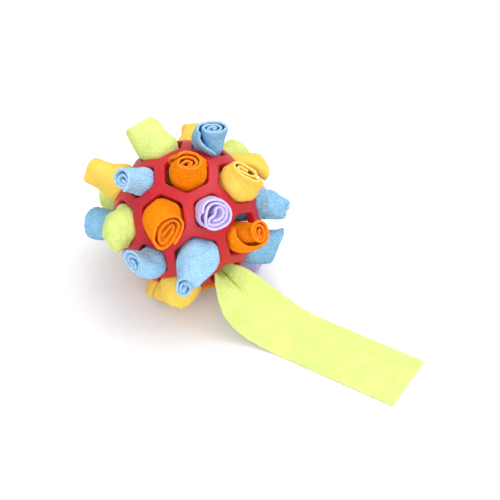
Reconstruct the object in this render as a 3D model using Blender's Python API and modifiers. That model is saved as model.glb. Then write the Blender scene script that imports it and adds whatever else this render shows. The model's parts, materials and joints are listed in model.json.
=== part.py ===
"""Dog snuffle ball.

A hollow moulded rubber ball is a lattice with twelve five-sided and twenty
six-sided holes. A strip of fleece is rolled up and pushed into each hole, and
treats are hidden in the rolls and in the space in the middle. One strip is left
unrolled and lies on the floor like a tail. Each strip pulls out of its own hole.

Metres, +Z up. The camera side of the ball is -Y. The origin is on the floor, where
the axis of the lowest roll meets it.
"""
import math
from collections import namedtuple

import bpy
import bmesh
from mathutils import Matrix, Vector

# The rubber ball
BALL_RADIUS = 0.0525
BALL_WALL = 0.0065
BAR_WIDTH = 0.0083
HOLE_FILLET = 0.0036
RIM_BEVEL = 0.0008
BALL_LIFT = 0.0095

# How the ball lies: the way its front five-sided hole faces, and its turn about it
FRONT_HOLE_AZIMUTH = -63.6
FRONT_HOLE_ELEVATION = 39.2
BALL_SPIN = 8.6

# The fleece, and the fit of a roll in its hole
FLEECE = 0.002
ROLL_GAP = 0.0004
TREAT_SPACE_RADIUS = 0.027
HEX_ROOT_ANGLE = 16.2
PENT_ROOT_ANGLE = 12.4
CORE_RADIUS = 0.0024
CORE_FLAP = 0.0010
ROOT_FLEECE_SHARE = 0.6
FULL_TURN_SHARE = 0.25
FLOOR_BITE = 0.0005

# How far the strips stick out of the ball
PUSHED_IN_REACH = 0.0010
LOW_REACH = 0.0095
TUCKED_REACH = 0.0140
SHORT_REACH = 0.0165
MIDDLE_REACH = 0.0195
LONG_REACH = 0.0240
TAB_REACH = 0.0220

# The outer ends of the rolls
HEX_HEAD_RADIUS = 0.0138
PENT_HEAD_RADIUS = 0.0128
TAB_HEAD_RADIUS = 0.0070
TAB_HALF_LENGTH = 0.0100
BELLY_SHARE = 0.42
BELLY_LEAN_SHARE = 0.6

# The unrolled strip
TAIL_WIDTH = 0.0475
TAIL_END_DISTANCE = 0.1855
TAIL_SIDE_OFFSET = 0.0107
TAIL_FLAT_LENGTH = 0.0800
TAIL_HEADING = -31.5
TAIL_STUB = 0.0110
TAIL_NECK_WIDTH_SHARE = 0.74
TAIL_NECK_DEPTH_SHARE = 0.37
TAIL_LEFT_PULL = 0.0230
TAIL_LEFT_SPREAD = 0.0070
TAIL_LEFT_RISE = 0.0060
TAIL_LEFT_LAND = 0.0330
TAIL_RIGHT_PULL = 0.0160
TAIL_RIGHT_SPREAD = 0.0155
TAIL_RIGHT_DROP = 0.0200
TAIL_RIGHT_LAND = 0.0500

# Mesh steps
POINTS_PER_TURN = 8
TAIL_DROP_STEPS = 9
TAIL_FLAT_STEPS = 3
TAIL_ACROSS_STEPS = 6

COLOURS = {
    "rubber_red": (0.72, 0.045, 0.055),
    "fleece_orange": (0.95, 0.26, 0.012),
    "fleece_yellow": (0.95, 0.62, 0.13),
    "fleece_blue": (0.30, 0.62, 0.83),
    "fleece_lavender": (0.60, 0.46, 0.82),
    "fleece_green": (0.68, 0.88, 0.14),
}

# A strip is named for its colour and place. Its hole is given by azimuth and
# elevation in degrees. Clock angles are seen from outside, 0 is up and 90 right.
# The lean is a clock angle and a tilt, and so is the slant of the end face from it.
# The seam is where the roll ends.
Strip = namedtuple(
    "Strip",
    "name colour hole reach lean seam wind slant turns head_share belly_share"
    " neck_flat_share head_flat_share flat",
    defaults=((0, 0), 0, 1, (0, 0), 2.0, 0.95, 1.0, 0.0, 0.0, 90),
)
TAB = dict(turns=1.25, head_share=TAB_HEAD_RADIUS / HEX_HEAD_RADIUS)

STRIPS = [
    # On the side that faces the camera
    Strip("orange_roll_top", "orange", (-85, 75), SHORT_REACH, (164, 15), seam=200,
          slant=(-10, 27), head_share=0.8),
    Strip("orange_roll_front_left", "orange", (-111, 35), MIDDLE_REACH, (119, 57), seam=-10,
          slant=(40, 36)),
    Strip("lavender_roll_front", "lavender", (-64, 39), TUCKED_REACH, (-162, 14), seam=-66,
          wind=-1, slant=(65, 7), head_share=0.92),
    Strip("yellow_roll_upper_right", "yellow", (-13, 45), MIDDLE_REACH, (-57, 30),
          slant=(79, 24), turns=1.25, head_share=0.45, head_flat_share=0.43, flat=0,
          belly_share=1.15),
    Strip("blue_roll_crown", "blue", (47, 64), MIDDLE_REACH, (-30, 32), slant=(130, 18),
          turns=1.75, head_share=0.63, head_flat_share=0.3, flat=0, belly_share=1.2),
    Strip("blue_roll_upper_left", "blue", (-159, 51), MIDDLE_REACH, (128, 31), seam=127,
          slant=(-104, 5), turns=1.5, head_share=0.62),
    Strip("blue_roll_lower_left", "blue", (-117, -2), MIDDLE_REACH, (-26, 41), seam=144,
          wind=-1, slant=(173, 21), turns=1.75, head_share=0.67, belly_share=1.15),
    Strip("blue_roll_front_low", "blue", (-80, 5), LONG_REACH, (-131, 50), seam=83,
          slant=(16, 34), turns=1.25, head_share=0.52, belly_share=1.2),
    Strip("orange_roll_right", "orange", (-38, 10), MIDDLE_REACH, (-6, 31), slant=(108, 8),
          turns=1.5, head_share=0.6, neck_flat_share=0.28, belly_share=1.15),
    Strip("green_roll_left", "green", (-151, 14), SHORT_REACH, (152, 58), seam=-132,
          slant=(-60, 24), head_share=0.78),
    Strip("blue_roll_right", "blue", (0, 10), MIDDLE_REACH, (-104, 23), seam=134,
          head_share=0.75),

    # Flat folded ends round the outline
    Strip("green_tab_top_left", "green", (134, 61), TAB_REACH, (168, 34), slant=(-60, 16),
          flat=125, head_flat_share=0.45, **TAB),
    Strip("yellow_tab_left", "yellow", (166, 25), LONG_REACH, (-176, 16), slant=(-80, 12),
          flat=140, head_flat_share=0.1, **TAB),
    Strip("yellow_tab_back_top", "yellow", (83, 34), TUCKED_REACH, (128, 10), flat=85,
          head_flat_share=0.4, **TAB),
    Strip("yellow_tab_right_back", "yellow", (35, 27), SHORT_REACH, (-158, 58), flat=85,
          head_flat_share=0.8, **TAB),
    Strip("blue_tab_lower_right", "blue", (-14, -25), MIDDLE_REACH, (76, 40),
          slant=(-100, 32), flat=20, head_flat_share=0.8, **TAB),
    Strip("lavender_tab_right_back", "lavender", (29, -14), SHORT_REACH, (60, 26), flat=60,
          head_flat_share=0.6, **TAB),

    # Left, back and underneath
    Strip("blue_roll_far_left", "blue", (180, -10), MIDDLE_REACH, (-112, 34), seam=-136),
    Strip("yellow_roll_low_front", "yellow", (-97, -34), TUCKED_REACH, (-140, 20), seam=-171,
          head_share=0.85),
    Strip("lavender_roll_low_left", "lavender", (-145, -27), PUSHED_IN_REACH, wind=-1,
          head_share=0.85),
    Strip("green_roll_back_right", "green", (63, 2), LONG_REACH, (-33, 24), seam=149),
    Strip("green_roll_back_left", "green", (142, -10), LONG_REACH, (130, 22), seam=-118,
          head_share=0.85),
    Strip("orange_roll_back_left", "orange", (125, 24), PUSHED_IN_REACH),
    Strip("lavender_roll_back", "lavender", (100, -5), MIDDLE_REACH, wind=-1),
    Strip("blue_roll_back_low", "blue", (116, -39), MIDDLE_REACH),
    Strip("yellow_roll_back_low", "yellow", (69, -35), MIDDLE_REACH, wind=-1),
    Strip("lavender_roll_low_right", "lavender", (21, -51), LONG_REACH, (-115, 22)),
    Strip("orange_roll_low_back", "orange", (167, -46), LOW_REACH, head_share=0.9),
    Strip("yellow_roll_under_left", "yellow", (-133, -64), TUCKED_REACH),
    Strip("orange_roll_under_front", "orange", (-46, -61), PUSHED_IN_REACH, head_share=0.92),
    Strip("blue_roll_under", "blue", (95, -75), SHORT_REACH, seam=180),
]
TAIL_HOLE = (-55, -24)
LOWEST_HOLE = (95, -75)

Hole = namedtuple("Hole", "axis sides rim_radius rim_height side_way")


def direction(azimuth, elevation):
    """The unit vector at an azimuth and an elevation in degrees."""
    turn, climb = math.radians(azimuth), math.radians(elevation)
    return Vector((math.cos(turn) * math.cos(climb), math.sin(turn) * math.cos(climb),
                   math.sin(climb)))


def ball_turn():
    """The turn that puts the ball's first five-sided hole where it faces."""
    return (Matrix.Rotation(math.radians(FRONT_HOLE_AZIMUTH), 4, "Z")
            @ Matrix.Rotation(math.radians(90 - FRONT_HOLE_ELEVATION), 4, "Y")
            @ Matrix.Rotation(math.radians(BALL_SPIN), 4, "Z"))


def lattice_cage():
    """A bmesh of the ball's twelve pentagons and twenty hexagons, corners on the ball."""
    cage = bmesh.new()
    bmesh.ops.create_icosphere(cage, subdivisions=1, radius=BALL_RADIUS)
    third = 100 / 3
    bmesh.ops.bevel(cage, geom=cage.verts[:], offset=third, offset_type="PERCENT",
                    affect="VERTICES", segments=1, profile=0.5)
    for vert in cage.verts:
        vert.co = vert.co.normalized() * BALL_RADIUS
    cage.transform(ball_turn())
    cage.normal_update()
    return cage


def find_holes():
    """Every hole of the ball, with its axis and the circle that fits in its outer rim."""
    cage = lattice_cage()
    holes = []
    for face in cage.faces:
        sides = len(face.verts)
        middle = face.calc_center_median()
        edge = face.edges[0].calc_length()
        apothem = edge / 2 / math.tan(math.pi / sides) - BAR_WIDTH / 2
        opening = math.atan2(apothem, middle.length)
        side_middle = (face.verts[0].co + face.verts[1].co) / 2
        holes.append(Hole(middle.normalized(), sides, BALL_RADIUS * math.sin(opening),
                          BALL_RADIUS * math.cos(opening), (side_middle - middle).normalized()))
    cage.free()
    return holes


def nearest_hole(holes, place):
    """The hole that faces nearest to an azimuth and an elevation."""
    aim = direction(*place)
    return max(holes, key=lambda hole: hole.axis.dot(aim))


def ball_centre(holes):
    """The ball's centre, so that the lowest roll's axis meets the floor at the origin."""
    down = nearest_hole(holes, LOWEST_HOLE).axis
    height = BALL_RADIUS + BALL_LIFT
    return down * (height / down.z)


def material(name, colour, roughness):
    """A plain Principled material."""
    found = bpy.data.materials.get(name)
    if found:
        return found
    made = bpy.data.materials.new(name)
    made.use_nodes = True
    made.diffuse_color = (*colour, 1)
    shader = made.node_tree.nodes["Principled BSDF"]
    shader.inputs["Base Color"].default_value = (*colour, 1)
    shader.inputs["Roughness"].default_value = roughness
    shader.inputs["Metallic"].default_value = 0
    return made


def add_object(name, mesh, collection, finish=None):
    """Put a mesh in the scene as a named object."""
    made = bpy.data.objects.new(name, mesh)
    if finish:
        made.data.materials.append(finish)
    collection.objects.link(made)
    return made


def round_hole_corners(cage):
    """Inset each face to the width of a bar, round the corners and open the hole."""
    bmesh.ops.subdivide_edges(cage, edges=cage.edges[:], cuts=2, use_grid_fill=False)
    outlines = cage.faces[:]
    marks = {face: [len(vert.link_edges) == 3 for vert in face.verts] for face in outlines}
    bmesh.ops.inset_individual(cage, faces=outlines, thickness=BAR_WIDTH / 2,
                               use_even_offset=True)
    for face in outlines:
        verts = [loop.vert for loop in face.loops]
        is_corner = marks[face]
        count = len(verts)
        half_angle = math.pi / 2 - math.pi / (count / 3)
        tangent = HOLE_FILLET / math.tan(half_angle)
        pull = HOLE_FILLET / math.sin(half_angle) - HOLE_FILLET
        middle = face.calc_center_median()
        places = {}
        for index, vert in enumerate(verts):
            if not is_corner[index]:
                continue
            for step in (-1, 1):
                beside = verts[(index + step) % count]
                places[beside] = vert.co + (beside.co - vert.co).normalized() * tangent
            places[vert] = vert.co + (middle - vert.co).normalized() * pull
        for vert, place in places.items():
            vert.co = place
    bmesh.ops.delete(cage, geom=outlines, context="FACES_ONLY")
    for vert in cage.verts:
        vert.co = vert.co.normalized() * BALL_RADIUS


def make_ball(collection, centre):
    """The moulded lattice: an open surface, thickened inwards, with eased rims."""
    cage = lattice_cage()
    round_hole_corners(cage)
    mesh = bpy.data.meshes.new("rubber_ball")
    cage.to_mesh(mesh)
    cage.free()
    ball = add_object("rubber_ball", mesh, collection,
                      material("rubber_red", COLOURS["rubber_red"], 0.45))
    ball.location = centre
    shell = ball.modifiers.new("wall", "SOLIDIFY")
    shell.thickness = BALL_WALL
    shell.offset = -1
    rims = ball.modifiers.new("eased rims", "BEVEL")
    rims.width = RIM_BEVEL
    rims.segments = 1
    rims.limit_method = "ANGLE"
    rims.angle_limit = math.radians(50)
    return ball


def roll_section(turns, outer, core, half_length, full_share):
    """The rolled strip seen from its end: a flap across the middle, then the turns.

    The turns widen from the core and stay at the outer radius for the last full_share
    of them. They are drawn apart by half_length to either side, which flattens the roll.
    """
    steps = round(turns * POINTS_PER_TURN)
    start = math.pi / POINTS_PER_TURN
    points = [Vector((-CORE_FLAP * math.cos(start) - half_length, -CORE_FLAP * math.sin(start)))]
    for step in range(steps + 1):
        angle = start + step * 2 * math.pi / POINTS_PER_TURN
        growth = min(step / steps / (1 - full_share), 1)
        radius = core + (outer - core) * growth
        shift = math.copysign(half_length, math.cos(angle))
        points.append(Vector((radius * math.cos(angle) + shift, radius * math.sin(angle))))
    return points


def turn_to_side(hole, end_way):
    """The smallest turn about the hole's axis that points end_way at one of its sides."""
    beside = hole.axis.cross(hole.side_way)
    angle = math.atan2(end_way.dot(beside), end_way.dot(hole.side_way))
    pitch = 2 * math.pi / hole.sides
    return round(angle / pitch) * pitch - angle


def roll_rows(strip, hole):
    """The rows of points along a roll, from its inner end to its outer end."""
    axis = hole.axis
    up = (Vector((0, 0, 1)) - axis * axis.z).normalized()
    right = up.cross(axis)

    def tip(clock, tilt):
        """The turn that tips the axis towards a clock angle."""
        way = up * math.cos(math.radians(clock)) + right * math.sin(math.radians(clock))
        return Matrix.Rotation(math.radians(tilt), 3, axis.cross(way))

    clock, tilt = strip.lean
    upright = Matrix.Identity(3)
    belly_turn = tip(clock, tilt * BELLY_LEAN_SHARE)
    head_turn = tip(clock, tilt)
    flat = math.radians(strip.flat)
    across = up * math.cos(flat) + right * math.sin(flat)
    along = axis.cross(across)
    is_flattened = strip.neck_flat_share > 0 or strip.head_flat_share > 0
    spin = 0 if is_flattened else math.radians(strip.seam)

    root_angle = math.radians(HEX_ROOT_ANGLE if hole.sides == 6 else PENT_ROOT_ANGLE)
    root_radius = TREAT_SPACE_RADIUS * math.tan(root_angle)
    neck_radius = hole.rim_radius - ROLL_GAP
    head_size = HEX_HEAD_RADIUS if hole.sides == 6 else PENT_HEAD_RADIUS
    head_radius = head_size * strip.head_share
    neck_flat = neck_radius * strip.neck_flat_share
    head_flat = TAB_HALF_LENGTH * strip.head_flat_share
    belly_radius = (neck_radius - neck_flat + head_radius) / 2 * strip.belly_share

    def from_axis(point):
        x = point.x * math.cos(spin) - point.y * math.sin(spin)
        y = point.x * math.sin(spin) + point.y * math.cos(spin)
        return across * x + along * y * strip.wind

    loose_end = roll_section(strip.turns, neck_radius, CORE_RADIUS, 0, 0)[-1]
    twist = 0 if neck_flat else turn_to_side(hole, from_axis(loose_end))

    neck = axis * hole.rim_height
    outside = BALL_RADIUS + strip.reach - hole.rim_height
    belly = neck + (belly_turn @ axis) * outside * BELLY_SHARE
    head = belly + (head_turn @ axis) * outside * (1 - BELLY_SHARE)

    full = FULL_TURN_SHARE
    stations = [
        (axis * TREAT_SPACE_RADIUS, upright, twist, root_radius, 0, 0, ROOT_FLEECE_SHARE),
        (neck, upright, twist, neck_radius - neck_flat, neck_flat, full, 1),
        (belly, belly_turn, twist / 2, belly_radius, (neck_flat + head_flat) / 2, full, 1),
        (head, tip(*strip.slant) @ head_turn, 0, head_radius, head_flat, full, 1),
    ]
    rows = []
    for middle, lean, row_twist, radius, half_length, full_share, share in stations:
        turned = lean @ Matrix.Rotation(row_twist, 3, axis)
        outer = radius - FLEECE * share / 2
        section = roll_section(strip.turns, outer, CORE_RADIUS, half_length, full_share)
        rows.append([middle + turned @ from_axis(point) for point in section])
    return rows, [station[-1] for station in stations]


def stop_at_floor(rows, centre):
    """Shorten the outer rows where they would go through the floor."""
    floor = -centre.z - FLOOR_BITE
    neck = rows[1]
    touched = False
    for row in rows[2:]:
        for index, point in enumerate(row):
            if point.z >= floor:
                continue
            touched = True
            share = (neck[index].z - floor) / (neck[index].z - point.z)
            row[index] = neck[index].lerp(point, share)
    return touched


def grid_mesh(name, rows):
    """A mesh sheet through equal rows of points."""
    sheet = bmesh.new()
    grid = [[sheet.verts.new(point) for point in row] for row in rows]
    for lower, upper in zip(grid, grid[1:]):
        for index in range(len(lower) - 1):
            sheet.faces.new((lower[index], lower[index + 1], upper[index + 1], upper[index]))
    bmesh.ops.recalc_face_normals(sheet, faces=sheet.faces[:])
    mesh = bpy.data.meshes.new(name)
    sheet.to_mesh(mesh)
    sheet.free()
    return mesh


def thicken(piece, row_shares):
    """Give a sheet the thickness of fleece, less in the rows that are squeezed."""
    columns = len(piece.data.vertices) // len(row_shares)
    group = piece.vertex_groups.new(name="fleece")
    for row, share in enumerate(row_shares):
        group.add(range(row * columns, (row + 1) * columns), share, "REPLACE")
    cloth = piece.modifiers.new("fleece", "SOLIDIFY")
    cloth.thickness = FLEECE
    cloth.offset = 0
    cloth.vertex_group = group.name


def make_floor_cutter(collection):
    """A block below the floor, which flattens what the ball stands on."""
    size = BALL_RADIUS * 4
    cutter_mesh = bpy.data.meshes.new("floor_cutter")
    block = bmesh.new()
    bmesh.ops.create_cube(block, size=size)
    block.to_mesh(cutter_mesh)
    block.free()
    cutter = add_object("floor_cutter", cutter_mesh, collection)
    cutter.location = (0, 0, -size / 2)
    cutter.hide_render = True
    cutter.display_type = "WIRE"
    return cutter


def make_roll(collection, strip, holes, centre, floor_cutter):
    """One rolled strip in its hole."""
    hole = nearest_hole(holes, strip.hole)
    rows, shares = roll_rows(strip, hole)
    on_floor = stop_at_floor(rows, centre)
    finish_name = "fleece_" + strip.colour
    roll = add_object(strip.name, grid_mesh(strip.name, rows), collection,
                      material(finish_name, COLOURS[finish_name], 0.95))
    roll.location = centre
    thicken(roll, shares)
    if on_floor:
        cut = roll.modifiers.new("flat on the floor", "BOOLEAN")
        cut.operation = "DIFFERENCE"
        cut.object = floor_cutter
    return roll


def bezier(start, first, second, end, share):
    """A point on a cubic curve."""
    rest = 1 - share
    return (start * rest ** 3 + first * 3 * share * rest ** 2
            + second * 3 * share ** 2 * rest + end * share ** 3)


def tail_rows(hole, centre):
    """The rows of the unrolled strip, from inside the ball to its far end."""
    out = Vector((hole.axis.x, hole.axis.y, 0)).normalized()
    heading = direction(TAIL_HEADING, 0)
    neck_left = Vector((-out.y, out.x, 0))
    left = Vector((-heading.y, heading.x, 0))
    rise = Vector((0, 0, 1))
    neck_width = 2 * hole.rim_radius * TAIL_NECK_WIDTH_SHARE
    neck_depth = 2 * hole.rim_radius * TAIL_NECK_DEPTH_SHARE
    exit_point = hole.axis * hole.rim_height + rise * neck_depth / 2
    lying = rise * (FLEECE / 2 - centre.z)
    end = heading * TAIL_END_DISTANCE - left * TAIL_SIDE_OFFSET + lying
    landing = end - heading * TAIL_FLAT_LENGTH

    def row(left_edge, right_edge, depth):
        points = []
        for step in range(TAIL_ACROSS_STEPS + 1):
            share = step / TAIL_ACROSS_STEPS
            sag = depth * (1 - (2 * share - 1) ** 2)
            points.append(left_edge.lerp(right_edge, share) - rise * sag)
        return points

    half_neck = neck_left * neck_width / 2
    half_tail = left * TAIL_WIDTH / 2
    rows = [row(exit_point - out * TAIL_STUB + half_neck,
                exit_point - out * TAIL_STUB - half_neck, neck_depth)]
    left_pull = out * TAIL_LEFT_PULL + left * TAIL_LEFT_SPREAD + rise * TAIL_LEFT_RISE
    right_pull = out * TAIL_RIGHT_PULL - left * TAIL_RIGHT_SPREAD - rise * TAIL_RIGHT_DROP
    for step in range(TAIL_DROP_STEPS):
        share = step / TAIL_DROP_STEPS
        left_edge = bezier(exit_point + half_neck, exit_point + half_neck + left_pull,
                           landing + half_tail - heading * TAIL_LEFT_LAND, landing + half_tail,
                           share)
        right_edge = bezier(exit_point - half_neck, exit_point - half_neck + right_pull,
                            landing - half_tail - heading * TAIL_RIGHT_LAND,
                            landing - half_tail, share)
        rows.append(row(left_edge, right_edge, neck_depth * (1 - share) ** 2))
    for step in range(TAIL_FLAT_STEPS + 1):
        along = landing.lerp(end, step / TAIL_FLAT_STEPS)
        rows.append(row(along + half_tail, along - half_tail, 0))
    return rows


def make_tail(collection, holes, centre):
    """The unrolled strip that lies on the floor."""
    rows = tail_rows(nearest_hole(holes, TAIL_HOLE), centre)
    tail = add_object("green_tail_strip", grid_mesh("green_tail_strip", rows), collection,
                      material("fleece_green", COLOURS["fleece_green"], 0.95))
    tail.location = centre
    thicken(tail, [1] * len(rows))
    return tail


def main():
    for old in list(bpy.data.objects):
        bpy.data.objects.remove(old, do_unlink=True)
    parts = bpy.data.collections.new("snuffle_ball")
    cutters = bpy.data.collections.new("cutters")
    for collection in (parts, cutters):
        bpy.context.scene.collection.children.link(collection)

    holes = find_holes()
    centre = ball_centre(holes)
    floor_cutter = make_floor_cutter(cutters)
    make_ball(parts, centre)
    for strip in STRIPS:
        make_roll(parts, strip, holes, centre, floor_cutter)
    make_tail(parts, holes, centre)


main()
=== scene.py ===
import cmath
import json
import math
from collections import namedtuple

import bmesh
import bpy
from mathutils import Matrix, Vector, noise


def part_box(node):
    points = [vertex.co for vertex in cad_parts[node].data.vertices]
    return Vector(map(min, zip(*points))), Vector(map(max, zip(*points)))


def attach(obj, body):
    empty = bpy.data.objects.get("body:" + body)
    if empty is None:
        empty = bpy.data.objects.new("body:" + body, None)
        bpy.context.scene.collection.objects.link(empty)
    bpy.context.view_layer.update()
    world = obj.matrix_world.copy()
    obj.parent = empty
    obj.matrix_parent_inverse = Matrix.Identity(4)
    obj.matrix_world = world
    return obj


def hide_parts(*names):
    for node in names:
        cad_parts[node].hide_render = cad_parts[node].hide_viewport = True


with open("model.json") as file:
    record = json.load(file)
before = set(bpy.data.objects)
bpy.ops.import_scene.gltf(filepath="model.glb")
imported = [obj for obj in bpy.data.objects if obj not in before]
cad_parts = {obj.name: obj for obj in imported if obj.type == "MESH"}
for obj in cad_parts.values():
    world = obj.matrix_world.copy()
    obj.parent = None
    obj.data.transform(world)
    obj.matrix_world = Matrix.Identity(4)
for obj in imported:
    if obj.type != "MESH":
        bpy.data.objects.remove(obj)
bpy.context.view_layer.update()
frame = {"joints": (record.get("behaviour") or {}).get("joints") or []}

# The rubber ball, as the frame has it
BALL_RADIUS = 0.0525
BALL_WALL = 0.0065
BAR_WIDTH = 0.0083
HOLE_FILLET = 0.0036
FRONT_HOLE_AZIMUTH = -63.6
FRONT_HOLE_ELEVATION = 39.2
BALL_SPIN = 8.6
RIM_EASE = 0.0018
RIM_ANGLE = 50
RIM_SEGMENTS = 4
FILLET_STEPS = 3
SIDE_STEPS = 4
BAR_CUTS = 2

# Where a roll lies: its inner end, its hole and its outer end
ROLL_GAP = 0.0004
TREAT_SPACE_RADIUS = 0.027
HEX_ROOT_ANGLE = 18.8
PENT_ROOT_ANGLE = 15.8
HEX_HEAD_RADIUS = 0.0138
PENT_HEAD_RADIUS = 0.0128
TAB_HEAD_RADIUS = 0.0070
TAB_HALF_LENGTH = 0.0100
BELLY_SHARE = 0.42
BELLY_LEAN_SHARE = 0.6

# The fleece, the radius that its core winds round, and the shares of its thickness that are
# left at its root, at its neck in the hole, and for the room that its outer turn takes there.
# It has its whole thickness again at a share of the way from the hole to its end.
FLEECE = 0.0020
STRIP_WIDTH = 0.0475
CORE_RADIUS = 0.0013
ROOT_THICKNESS_SHARE = 0.6
NECK_THICKNESS_SHARE = 0.9
NECK_INSET_SHARE = 0.8
THICK_AGAIN_SHARE = 1 / 3

# How unevenly the fleece is wound: wobbling turns, bulges into the corners of the hole,
# a lifted loose edge, and ends that wave, sink or close like a dome
END_WOBBLE = 0.10
WOBBLE_DRIFT = 0.35
FULL_TURN_SHARE = 0.2
CORNER_BULGE = 0.13
FREE_CORNER_BULGE = 0.20
BULGE_TURNS_SHARE = 0.5
EDGE_SHARE = 0.07
EDGE_LIFT = 0.0007
END_SINK = 0.0015
DEEP_END_SINK = 0.0030
END_WAVE = 0.0006
END_WAVE_RATE = 14
END_WAVE_SEED_STEP = 3.1
DOME_START = 0.55
DENT_TURN = 45
DENT_SPAN = 0.12

# Ribs and lumps in the side of a roll
FINE_RIB_DEPTH = 0.00020
RIB_DEPTH = 0.00045
RIB_FADE = 0.7
EVEN_LUMPS = 0.0004
LOW_LUMPS = 0.0018
HIGH_LUMPS = 0.0024
LUMP_SIZE = 0.0060
LUMP_FADE_ROWS = 4
LUMP_SEED_STEP = 7.3
SMALL_LUMP_RATE = 2.3
SMALL_LUMP_SHARE = 0.5
TUFT_SIZE = 0.0020
TUFT_DEPTH = 0.0007

# How far the strips stick out of the ball
PUSHED_IN_REACH = 0.0010
LOW_REACH = 0.0095
TUCKED_REACH = 0.0140
SHORT_REACH = 0.0165
MIDDLE_REACH = 0.0195
LONG_REACH = 0.0240
TAB_REACH = 0.0220

# The camera, as it stood for the photograph
PHOTO_SIDE = 500
FOCAL_PIXELS = 1327.1
SENSOR_WIDTH = 36
CAMERA_TILT = 48
CAMERA_OFFSET = (0.0443, -0.7165, 0.6112)
CLIP_START = 0.01

# Mesh steps of a roll
POINTS_PER_TURN = 24
POINTS_PER_RIB = 3
CURVE_STEPS = 8
INNER_ROWS = 4
OUTER_ROWS = 14
ROLL_LEVELS = 1

low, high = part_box("rubber_ball")
BALL_CENTRE = (low + high) / 2
# How high the middle of a sheet of fleece that lies on the floor is, from the ball's centre
LYING = FLEECE / 2 - BALL_CENTRE.z
# The way in which each strip pulls out of its hole
AXES = {joint["child"]: Vector(joint["axis"]) for joint in frame["joints"]}

# How a strip lies in its hole. A clock angle is seen from outside the hole, 0 up and 90 to
# the right.
# reach: how far its outer end stands out of the ball
# lean, slant: the clock angle that it tips to and by how much, and the same for its end face
# seam, neck_seam: the clock angles of its loose edge, at its outer end and in the hole
# wind, turns: which way it winds, 1 or -1, and how often
# head_share, belly_share, neck_share: how full it is at its outer end, halfway and in the hole
# flat: the clock angle along which it is folded flat
# head_flat_share, neck_flat_share: how flat it is, as a share of TAB_HALF_LENGTH at its outer
# end and of the hole's radius in the hole
# sink, dome: how deep its core lies in its end, and how far its end closes
# ribs, rib_depth, lumps: how uneven its side is
# tint: a deeper copy of its colour, painted shade for a roll that faces away from the light;
# without it, its colour is the first word of its name
# dent: the clock angle of a dent in its side, its place along the side, and its depth
PLAIN_ROLL = dict(
    lean=(0, 0), slant=(0, 0), seam=0, neck_seam=None, wind=1, turns=3.0,
    head_share=0.95, belly_share=1.0, neck_share=1.0,
    flat=90, head_flat_share=0.0, neck_flat_share=0.0, sink=END_SINK, dome=0.0,
    ribs=0, rib_depth=0.0, lumps=EVEN_LUMPS, tint=None, dent=(0, 0, 0),
)
Roll = namedtuple("Roll", ["name", "reach", *PLAIN_ROLL], defaults=PLAIN_ROLL.values())
TAB = dict(turns=2, head_share=TAB_HEAD_RADIUS / HEX_HEAD_RADIUS, sink=0.0)

# Some blue rolls take a blue painted deeper, as painted shade where they face away from the light
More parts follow.
